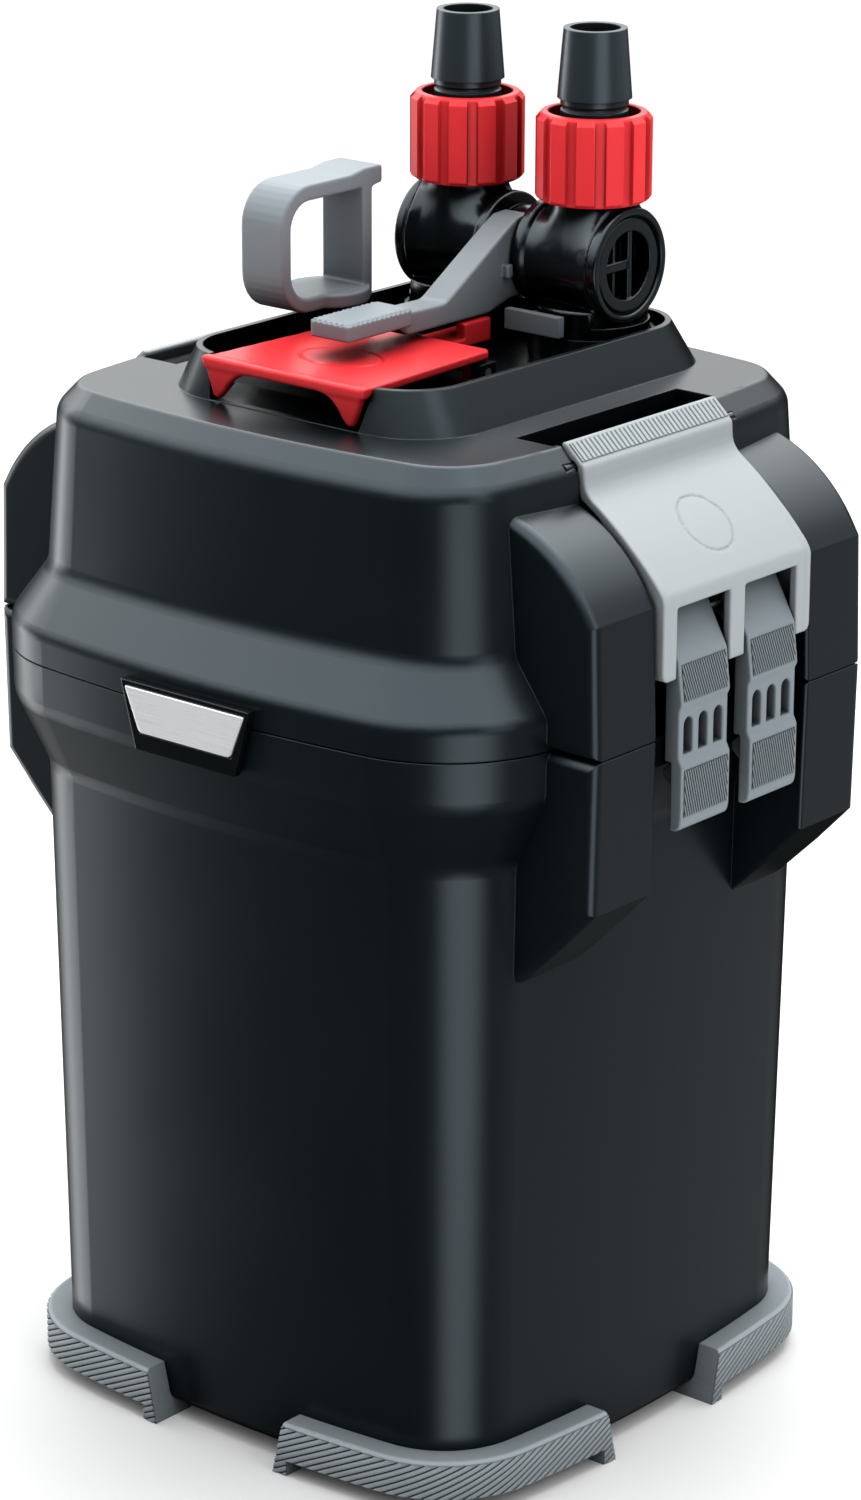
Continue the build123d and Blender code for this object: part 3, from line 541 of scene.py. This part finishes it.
def grip(span, rise, pitch, lean, depth, step, fill, place, slants=(0, 0)):
    """Raised ribs, and the thin dark skin between them that paints the shade in the grooves."""
    raised = place_ribs(ribs(span, rise, pitch, lean, depth, step, fill, slants), place)
    skin = place_ribs(ribs(span, rise, pitch, lean, SKIN, step, 1.0, slants), place)
    return ("rib", raised), ("skin", skin)


# ---- outlines in millimetres ------------------------------------------------------------------
LEVER_ARM = bend(
    (-17, 303.6), (-17, 306.8), (3.4, 306.4, 6), (29.4, 322.4, 4), (34, 324.8, 3), (44.3, 325.4),
    (44.3, 303), (31, 303, 2), (22, 300.4, 2), (-12, 300.4, 2),
)
PRIMER_OUTER = bend(
    (-25.6, 337, 11.2), (2.5, 337, 4), (8, 338, 4), (15.3, 338, 0.8), (15.3, 333.2, 0.8),
    (11.2, 332.6, 1.0), (11.2, 302, 0.5), (-25.6, 302, 11),
)
PRIMER_WINDOW = bend((-21.8, 332.6, 7.4), (7.2, 332.6, 0.8), (7.2, 306, 0.8), (-21.8, 306, 7.4))
LATCH_FRONT = [
    (-28, 298), (28, 298), (27.6, 296.6), (24.4, 287.9), (23.4, 287.4), (22.4, 287.6),
    *sweep((20.6, 289.4), (16.8, 293.7), (10, 295.6)),
    *sweep((-10, 295.6), (-16.8, 293.7), (-20.6, 289.4)),
    (-22.4, 287.6), (-23.4, 287.4), (-24.4, 287.9), (-27.6, 296.6),
]
CLAMP_PLATE = [
    (73.4, 287.1), (74.3, 287.1), (79.9, 282.0), (80.3, 281.3), (80.6, 277.6),
    *sweep((80.9, 276.2), (81.5, 275.1), (82.6, 273.8)),
    *sweep((83.4, 273.1), (95.3, 263.8), (105.4, 253.2)),
    *sweep((105.9, 252.6), (106.6, 251.4), (106.8, 250.0)),
    (106.8, 229.0), (104.3, 229.0), (104.3, 250.2),
    *sweep((103.2, 252.2), (92.9, 262.6), (79.2, 273.0)),
    (77.6, 276.4), (73.8, 283.6), (72.8, 286.0), (72.9, 286.7),
]
CLAMP_CHEEK = [
    *sweep((86.0, 268.6), (95.6, 262.6), (105.4, 253.2)),
    (106.8, 250.0), (106.8, 229.0), (94.0, 229.0), (86.0, 240.0),
]
BADGE = bend((-21.1, 217.9, 0.3), (21.1, 217.9, 0.3), (16.1, 205.9, 1.6), (-16.1, 205.9, 1.6))
TAB_SHELL = [
    (98.2, 246.4), (100.3, 245.4), (106.9, 233.2), (108.3, 222.0), (107.5, 220.2), (107.5, 207.4),
    (108.6, 205.2), (108.6, 190.8), *sweep((108.3, 189.2), (107.4, 187.9), (106.0, 187.4)),
    (104.8, 187.4), (104.8, 206.0), (102.7, 206.0), (102.7, 233.0), (97.0, 243.8),
]
TAB_WEB = [(97.0, 238.4), (102.8, 230.0), (105.0, 229.0), (105.0, 232.0), (99.0, 243.5)]
TAB_HOOK = [
    (100.2, 200.5), (100.2, 202.6), (102.7, 205.1), (102.7, 206.2), (105.0, 206.2), (105.0, 196.0),
]
TAB_FACETS = (((107.0, 232.4), (108.2, 222.8)), ((108.6, 204.2), (108.6, 191.6)))
# Pitch, lean, depth, row length and fill of each kind of rib
CLAMP_RIBS = (1.75, 0.0, 0.3, 3, 0.62)
TAB_RIBS = (0.95, 0.29, 0.32, 20, 0.5)


# ---- valve: centre of each port, axis of the barrels, barrel radius along X --------------------
PORT_X, VALVE_Y, VALVE_Z = 22.2, 44.3, 314.3
BARREL_X = (9.2, 12, 16, 20, 24, 28, 31, 32.2)
BARREL_R = (13.65, 13.6, 13.6, 13.7, 14.05, 14.7, 15.5, 15.85)
BASE_R, NECK_R, COLLAR_R, CAP_SEAT_R = 15.98, 11.35, 14.7, 12.0
CAP_R, CAP_FACE_R, CAP_HOLE_R, CAP_INNER = 15.85, 13.0, 9.4, 32.0
HUB_R, LEVER_HALF, PAD_HALF, PAD_TOP = 11.55, 4.6, 7.0, 308.3
SCALLOP_PITCH, SCALLOP_R, SCALLOP_Z = 1.9, 0.95, 308.7
NUT_RIBS = 12


def valve_skin(x, y, z):
    """Barrel with its flared end, collar, round base and neck, melted into one form."""
    dy, dz = y - VALVE_Y, z - VALVE_Z
    around = np.hypot(dy, dz)
    port = np.hypot(x - PORT_X, dy)
    barrel = rounded(0.6, around - np.interp(x, BARREL_X, BARREL_R), inside(x, 8.0, 32.1))
    base = rounded(0.6, port - BASE_R, inside(z, 289.5, 303), inside(x, 6.3, 32.1))
    neck = rounded(0.4, port - NECK_R, inside(z, 312, 332.4))
    collar = rounded(0.5, around - COLLAR_R, inside(x, 5.3, 8.5))
    body = np.minimum(blend(blend(barrel, base, 1.4), neck, 5.0), collar)
    return carve(body, rounded(0.2, around - CAP_SEAT_R, inside(x, 27.4, 40)), 0.3)


def add_valve():
    points, faces = net(valve_skin, (5, 27, 289), (33, 62, 333), 0.55)
    add_piece("valve_skin_right", points, faces, "black_plastic", "valve")
    add_piece("valve_skin_left", *mirrored(points, faces), "black_plastic", "valve")


def end_cap(x, y, z):
    """Ring with a groove and a sunk face, and in its hole two upright bars and a crosspiece."""
    dy, dz = y - VALVE_Y, z - VALVE_Z
    around = np.hypot(dy, dz)
    hole = around - CAP_HOLE_R - 0.5
    rim = rounded(0.75, around - CAP_R, 13.55 - around, inside(x, CAP_INNER, 35.4))
    face = rounded(0.3, around - CAP_FACE_R, CAP_HOLE_R - around, inside(x, CAP_INNER, 34.7))
    floor = rounded(0.2, around - 14.2, CAP_HOLE_R - around, inside(x, CAP_INNER, 34.0))
    upright = rounded(0.3, inside(dy, 0.6, 2.5), inside(x, CAP_INNER, 34.0), hole)
    depth = inside(x, CAP_INNER, 33.7)
    across = rounded(0.3, inside(dy, -9.5, 1.0), inside(dz, -1.3, 1.3), depth, hole)
    thin = rounded(0.25, inside(dy, -4.6, -3.6), inside(x, CAP_INNER, 33.0), hole)
    bars = np.minimum(np.minimum(upright, across), thin)
    return np.minimum(np.minimum(np.minimum(rim, face), floor), bars)


def add_end_caps():
    points, faces = net(end_cap, (31.9, 28, 298), (35.6, 61, 331), 0.4)
    for name, shape in (("right", (points, faces)), ("left", mirrored(points, faces))):
        cap = add_piece("end_cap_" + name, *shape, "black_plastic", "valve")
        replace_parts(cap, "valve_end_cap_" + name)


def lever(x, y, z):
    """Finger pad with scalloped upper edges, and the arm that grips the hub."""
    side = np.abs(x)
    arm = rounded(0.7, outline(LEVER_ARM, y, z), side - LEVER_HALF)
    length = inside(y, -39, -12.4)
    pad = rounded(0.5, length, side - PAD_HALF, inside(z, 303.6, PAD_TOP))
    corner = rounded(1.8, length, side - PAD_HALF)
    half = SCALLOP_PITCH / 2
    front = np.hypot((x + 50) % SCALLOP_PITCH - half, z - SCALLOP_Z) - SCALLOP_R
    flank = np.hypot((y + 90) % SCALLOP_PITCH - half, z - SCALLOP_Z) - SCALLOP_R
    scallops = np.minimum(np.maximum(front, y + 38.0), np.maximum(flank, 6.0 - side))
    pad = np.maximum(np.maximum(pad, corner), -scallops)
    hub = np.hypot(y - VALVE_Y, z - VALVE_Z) - HUB_R
    lug = rounded(0.5, inside(x, 4.0, 6.6), inside(y, 27.2, 29.6), inside(z, 309.2, 313.0))
    return np.minimum(np.maximum(np.minimum(arm, pad), -hub), lug)


def add_lever():
    points, faces = net(lever, (-7.2, -39.2, 300.2), (7.2, 45, 326), 0.42)
    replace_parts(add_piece("lever", points, faces, "mid_grey_plastic", "lever"), "valve_lever")


# ---- primer: centre of its rod, half width of the strap, radius of the disc --------------------
PRIMER_X, PRIMER_Y = -35.5, 0.5
STRAP_HALF, DISC_R = 7.5, 12.0


def primer_loop(x, y, z):
    """Strap round a finger gap, with a raised pad at its upper rear and a disc at its foot."""
    strap = rounded(0.6, outline(PRIMER_OUTER, y, z), np.abs(x - PRIMER_X) - STRAP_HALF)
    gap = outline(PRIMER_WINDOW, y, z)
    disc = rounded(0.5, np.hypot(x - PRIMER_X, y - PRIMER_Y) - DISC_R, inside(z, 302, 305.8))
    return np.minimum(carve(strap, gap, 0.9), disc)


def add_primer():
    points, faces = net(primer_loop, (-48, -26, 301.6), (-23, 16, 339), 0.5)
    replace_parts(add_piece("primer_loop", points, faces, "mid_grey_plastic", "primer"), "primer_handle")


def latch(x, y, z):
    """Release plate: a thin flat plate whose front edge rolls down into two tails."""
    side = np.abs(x)
    half = np.interp(y, (-57.4, -56, -3.2, -1.6), (28.0, 27.9, 25.0, 23.4))
    plate = rounded(0.5, side - half, inside(y, -57.4, -1.6), inside(z, 295.7, 298.0))
    front = rounded(0.8, outline(LATCH_FRONT, x, z), inside(y, -57.4, -54.9))
    sheet = blend(plate, front, 1.6)
    tongue = rounded(0.3, side - 6.0, inside(y, -3, 21), inside(z, 293.4, 295.6))
    post = rounded(0.4, inside(x, 2.6, 6.0), inside(y, 10, 21), inside(z, 294.5, 299.8))
    lugs = rounded(0.4, inside(side, 19.4, 22.4), inside(y, -7.4, -2.2), inside(z, 290.4, 296.5))
    hole = np.hypot(y + 4.8, z - 292.6) - 1.25
    groove = np.maximum(np.abs(np.hypot(x / 1.45, y + 34) - 8.6) - 0.28, 297.65 - z)
    plate = np.minimum(np.maximum(sheet, -groove), np.maximum(lugs, -hole))
    return np.minimum(plate, np.minimum(tongue, post))


def add_latch():
    points, faces = net(latch, (-28.2, -57.6, 287), (28.2, 21.2, 300), 0.45)
    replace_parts(add_piece("release_plate", points, faces, "red_plastic", "latch"), "latch_plate")


# Radius, height of the ribs and z of each ring of a union nut, and places across one rib and groove
NUT_RINGS = (
    (13.0, 0, 331.0), (14.3, 0, 331.0), (14.6, 0.15, 331.35), (14.6, 1.0, 332.1), (14.6, 1.0, 343),
    (14.6, 1.0, 353.3), (14.6, 0.1, 354.3), (14.3, 0, 354.9), (13.7, 0, 355.1), (12.7, 0, 355.1),
    (12.4, 0, 354.8), (12.4, 0, 351.6), (9.9, 0, 351.6), (9.9, 0, 347.0), (13.0, 0, 347.0),
)
NUT_SHARES = (-0.5, -0.34, -0.31, -0.1, 0.1, 0.31, 0.34)
NUT_RIB_EDGE = 0.33


def nut_mesh(centre_x):
    """Union nut: flat ribs with chamfered ends between narrower flat grooves."""
    points = []
    for radius, rise, z in NUT_RINGS:
        for rib in range(NUT_RIBS):
            for share in NUT_SHARES:
                raised = abs(share) < NUT_RIB_EDGE
                angle = 2 * pi * (rib + share) / NUT_RIBS
                flat = cos(2 * pi * (abs(share) if raised else 0.5 - abs(share)) / NUT_RIBS)
                reach = (radius + (rise if raised else 0)) / (flat if rise else 1)
                points.append((centre_x + reach * cos(angle), VALVE_Y + reach * sin(angle), z))
    count = NUT_RIBS * len(NUT_SHARES)
    faces = []
    for ring in range(len(NUT_RINGS)):
        after = (ring + 1) % len(NUT_RINGS)
        for i in range(count):
            j = (i + 1) % count
            faces.append((ring * count + i, ring * count + j, after * count + j, after * count + i))
    return points, faces


def add_nuts():
    for name, side in (("right", 1), ("left", -1)):
        shape = nut_mesh(side * PORT_X)
        nut = add_piece("union_nut_" + name, *shape, "red_plastic", "nut_" + name, sharp=24)
        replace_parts(nut, "lock_nut_" + name)


# ---- clamps and their tabs: x and z of each pivot ----------------------------------------------
CLAMP_PIVOT, CLAMP_PIN_R, CLAMP_HALF = (76.5, 281.0), 1.55, 31.6
TAB_PIVOT, TAB_PIN_R, TAB_SIDE = (97.0, 241.0), 1.3, (4.4, 25.1)
EMBLEM_Z, EMBLEM_SQUASH, EMBLEM_R = 263.0, 1.45, 8.5
STRIP_TOP, STRIP_FOOT, STRIP_START, STRIP_SIZE = (74.2, 287.3), (80.2, 281.8), 0.9, (61.8, 5.8)
SLOT_CENTRES, SLOT_HALF, SLOT_FOOT, SLOT_TOP, SLOT_FLOOR = (8.4, 14.75, 21.1), 1.9, 208.2, 216.1, 103.4


def clamp(x, y, z):
    """Clamp shell: bent plate with cheeks, two windows, a hinge knuckle and a fine ring."""
    side = np.abs(y)
    hinge = np.hypot(x - CLAMP_PIVOT[0], z - CLAMP_PIVOT[1])
    tab_hinge = np.hypot(x - TAB_PIVOT[0], z - TAB_PIVOT[1])
    bent = outline(CLAMP_PLATE, x, z)
    plate = rounded(0.5, bent, side - CLAMP_HALF)
    knuckle = rounded(0.4, hinge - 3.0, side - CLAMP_HALF)
    cheek = rounded(0.5, outline(CLAMP_CHEEK, x, z), inside(side, 29.4, CLAMP_HALF))
    shell = np.minimum(blend(plate, cheek, 0.8), knuckle)
    window = rounded(0.5, inside(side, 3.2, 25.6), inside(z, 200, 248.0))
    shell = carve(shell, np.maximum(window, 103.0 - x), 0.5)
    leg = rounded(2.6, side - CLAMP_HALF, 229.0 - z)
    pins = np.minimum(hinge - CLAMP_PIN_R, tab_hinge - TAB_PIN_R)
    ring = np.abs(np.hypot(y, (z - EMBLEM_Z) * EMBLEM_SQUASH) - EMBLEM_R) - 0.35
    surface = np.abs(bent) - 0.3
    shell = np.maximum(np.maximum(shell, leg), -pins)
    return np.maximum(shell, -np.maximum(np.maximum(ring, surface), 88 - x))


def slope_place(start, end):
    """Placing function for ribs on a flat slope that falls from start to end, given as (x, z)."""
    low, high = Vector((start[0], 0, start[1])), Vector((end[0], 0, end[1]))
    down = (high - low).normalized()
    out = Vector((-down.z, 0, down.x))
    return lambda u, v, lift: low + down * v + out * lift + Vector((0, u, 0))


def add_clamps():
    points, faces = net(clamp, (72.6, -31.8, 228.8), (107.2, 31.8, 287.5), 0.55)
    width, length = STRIP_SIZE
    place = slope_place(STRIP_TOP, STRIP_FOOT)
    strip = grip(
        (0, width), (0, length), *CLAMP_RIBS,
        lambda u, v, lift: place(u - width / 2, v + STRIP_START, lift),
    )
    for side in ("right", "left"):
        shape = (points, faces) if side == "right" else mirrored(points, faces)
        shell = add_piece("clamp_shell_detail_" + side, *shape, "light_grey_plastic", "clamp_" + side)
        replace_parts(shell, "clamp_shell_" + side)
        for kind, bars in strip:
            shape = bars if side == "right" else mirrored(*bars)
            # The skin between the clamp ribs takes the darker grey: painted shade in the grooves
            look = "light_grey_plastic" if kind == "rib" else "mid_grey_plastic"
            add_piece("clamp_grip_" + kind + "_" + side, *shape, look, "clamp_" + side, sharp=30)


def tab(x, y, z):
    """Pair of finger tabs: bent shell with three slots, hinge tube, web and hook."""
    side = np.abs(y)
    width = inside(side, *TAB_SIDE)
    hinge = np.hypot(x - TAB_PIVOT[0], z - TAB_PIVOT[1])
    shell = rounded(0.45, outline(TAB_SHELL, x, z), width)
    for centre in SLOT_CENTRES:
        across = np.abs(side - centre)
        slot = np.where(z > SLOT_TOP, np.hypot(across, z - SLOT_TOP), across) - SLOT_HALF
        shell = carve(shell, np.maximum(np.maximum(slot, SLOT_FOOT - z), SLOT_FLOOR - x), 0.4)
    web = rounded(0.3, outline(TAB_WEB, x, z), width)
    hook = rounded(0.3, outline(TAB_HOOK, x, z), inside(side, 7.4, 22.1))
    tube = rounded(0.3, hinge - 3.2, width)
    body = np.minimum(np.minimum(shell, hook), blend(web, tube, 0.8))
    return np.maximum(body, TAB_PIN_R - hinge)


def add_tabs():
    points, faces = net(tab, (93.6, -25.3, 187.2), (108.9, 25.3, 247.2), 0.5)
    for side in ("right", "left"):
        shape = (points, faces) if side == "right" else mirrored(points, faces)
        piece = add_piece("tab_pair_" + side, *shape, "mid_grey_plastic", "tabs_" + side)
        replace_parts(piece, "clamp_tabs_" + side)
    for index, (start, end) in enumerate(TAB_FACETS):
        length = hypot(end[0] - start[0], end[1] - start[1])
        for row, span in enumerate(((5.5, 24.0), (-24.0, -5.5))):
            for kind, bars in grip(span, (0, length), *TAB_RIBS, slope_place(start, end)):
                name = "tab_grip_%s_%d_%d_" % (kind, index + 1, row + 1)
                # The skin between the tab ribs is painted shade
                look = "mid_grey_plastic" if kind == "rib" else "groove_shade"
                add_piece(name + "right", *bars, look, "tabs_right", sharp=30)
                add_piece(name + "left", *mirrored(*bars), look, "tabs_left", sharp=30)
    # Dark sheets on the slot floors: painted shade inside the slots
    for row, y0 in enumerate((5.6, -24.0)):
        points, faces = block((103.2, y0, 207.4), (103.6, y0 + 18.4, 218.6))
        add_piece("tab_slot_floor_%d_right" % (row + 1), points, faces, "groove_shade", "tabs_right")
        name = "tab_slot_floor_%d_left" % (row + 1)
        add_piece(name, *mirrored(points, faces), "groove_shade", "tabs_left")


# ---- feet: a square outline with bowed sides and round corners ---------------------------------
# Distance from the middle to the centre of each side's bow, and place of each corner's centre
BOW, CORNER = 356.0, 52.6
CORNER_INSET = hypot(BOW + CORNER, CORNER) - BOW
SIDE_TURN = atan2(CORNER, BOW + CORNER)
FOOT_HALF = 88.6
SIDE_R, CORNER_R = FOOT_HALF + BOW, FOOT_HALF - CORNER_INSET
SIDE_LENGTH = SIDE_R * SIDE_TURN
CORNER_LENGTH = CORNER_R * (pi / 2 - 2 * SIDE_TURN)
# Half the gap between feet, slant of their ends, width and height of a leg, top of the ribs
FOOT_GAP, FOOT_SLANT, FOOT_LEG, FOOT_LEG_TOP, FOOT_RIB_TOP = 21.8, 0.224, 4.8, 4.6, 14.4
FOOT_RIBS = (3.67, 1.963, 0.4, 1.2, 0.74)
QUARTERS = {"front_right": (1, 0), "rear_right": (0, 1), "rear_left": (-1, 0), "front_left": (0, -1)}


def foot_wall(u, v, lift):
    """Point on the outer wall of the feet. u runs along the outline from the middle of the front."""
    if u < SIDE_LENGTH:
        angle, centre, radius = u / SIDE_R - pi / 2, (0, BOW), SIDE_R
    elif u < SIDE_LENGTH + CORNER_LENGTH:
        angle = (u - SIDE_LENGTH) / CORNER_R + SIDE_TURN - pi / 2
        centre, radius = (CORNER, -CORNER), CORNER_R
    else:
        angle = (u - SIDE_LENGTH - CORNER_LENGTH) / SIDE_R - SIDE_TURN
        centre, radius = (-BOW, 0), SIDE_R
    reach = radius + lift
    return Vector((centre[0] + reach * cos(angle), centre[1] + reach * sin(angle), v))


def add_foot_ribs():
    """Diagonal ribs on the outer walls of the feet and of their legs."""
    start, end = FOOT_GAP, 2 * SIDE_LENGTH + CORNER_LENGTH - FOOT_GAP
    legs = (0.1, FOOT_LEG_TOP)
    runs = (
        ("wall", (start, end), (FOOT_LEG_TOP, FOOT_RIB_TOP), (FOOT_SLANT, FOOT_SLANT)),
        ("leg_a", (start, start + FOOT_LEG), legs, (FOOT_SLANT, 0)),
        ("leg_b", (end - FOOT_LEG, end), legs, (0, FOOT_SLANT)),
    )
    for run, span, rise, slants in runs:
        parts = grip(span, rise, *FOOT_RIBS, foot_wall, slants)
        for corner, (c, s) in QUARTERS.items():
            for kind, (points, faces) in parts:
                turned = [(x * c - y * s, x * s + y * c, z) for x, y, z in points]
                name = "foot_" + kind + "_" + run + "_" + corner
                # The skin between the foot ribs is painted shade
                look = "foot_rubber" if kind == "rib" else "groove_shade"
                add_piece(name, turned, faces, look, "canister", sharp=35)


# ---- badge ------------------------------------------------------------------------------------
def badge(x, y, z):
    """Blank plate with rounded edges."""
    return rounded(0.25, outline(BADGE, x, z), inside(y, -96.5, -95.3))


def add_badge():
    points, faces = net(badge, (-21.3, -96.6, 205.5), (21.3, -95.2, 218.2), 0.3)
    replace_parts(add_piece("badge_face", points, faces, "badge_metal", "head"), "badge_plate")


add_valve()
add_end_caps()
add_lever()
add_primer()
add_latch()
add_nuts()
add_clamps()
add_tabs()
add_foot_ribs()
add_badge()
